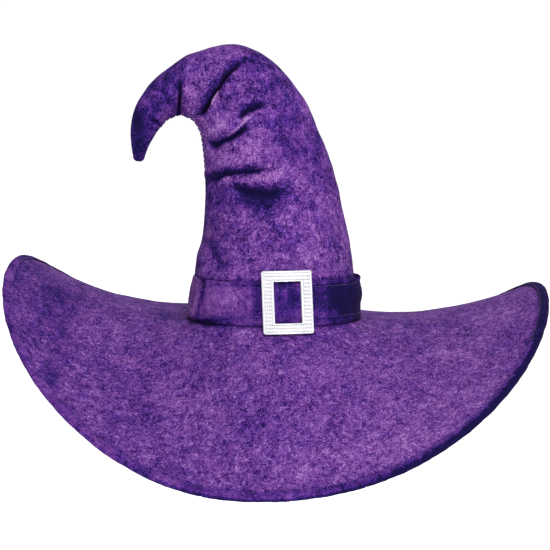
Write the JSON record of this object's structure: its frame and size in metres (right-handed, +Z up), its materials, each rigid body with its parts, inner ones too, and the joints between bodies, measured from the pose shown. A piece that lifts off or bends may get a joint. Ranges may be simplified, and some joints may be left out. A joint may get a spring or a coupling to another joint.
{
  "type": "witch hat",
  "caption": "Soft pointed costume hat: bent velour crown with a drooping tip, wide wired brim curled up at the sides, fabric band and slide buckle, lined, with a sweatband.",
  "frame": {"origin": "centre of the head opening, in the plane of the sweatband's lower edge", "axes": "+Z up through the crown, -Y the front with the buckle, +X the wearer's left; the crown's tip bends towards -X"},
  "size_m": [0.6134, 0.5376, 0.4782],
  "materials": {
    "velour": "crushed velour",
    "band": "crushed velour",
    "binding": "crushed velour",
    "foam": "open-cell foam sheet",
    "lining": "plain woven",
    "tape": "woven elastic",
    "wadding": "loose fibre",
    "wire": "drawn",
    "ferrule": "plain",
    "thread": "twisted",
    "sweatband": "ribbed ribbon",
    "label": "satin, blank",
    "buckle": "glossy silver white"
  },
  "bodies": {
    "root": {"crown_cover": "velour", "crown_interlining": "foam", "crown_lining": "lining", "crown_gathering_tape": "tape", "brim_top_cover": "velour", "brim_core": "foam", "brim_under_cover": "velour", "brim_wire": "wire", "wire_ferrule": "ferrule", "brim_binding": "binding", "binding_stitching": "thread", "sweatband": "sweatband", "care_label": "label", "hat_band": "band", "band_stitching": "thread"},
    "crown_tip": {"tip_cover": "velour", "tip_interlining": "foam", "tip_lining": "lining", "tip_gathering_tape": "tape", "tip_wadding": "wadding"},
    "buckle": {"buckle_frame": "buckle"}
  },
  "joints": [
    {"name": "tip_bend", "type": "hinge", "parent": "root", "child": "crown_tip", "pos_m": [-0.065, 0, 0.2555], "axis": [0, -1, 0], "range_deg": [-20, 25], "stiffness_Nm_per_rad": 0.25, "springref_deg": -2.06},
    {"name": "buckle_slide", "type": "hinge", "parent": "root", "child": "buckle", "pos_m": [0, 0, 0.033], "axis": [0, 0, 1], "range_deg": [-9, 9]}
  ]
}
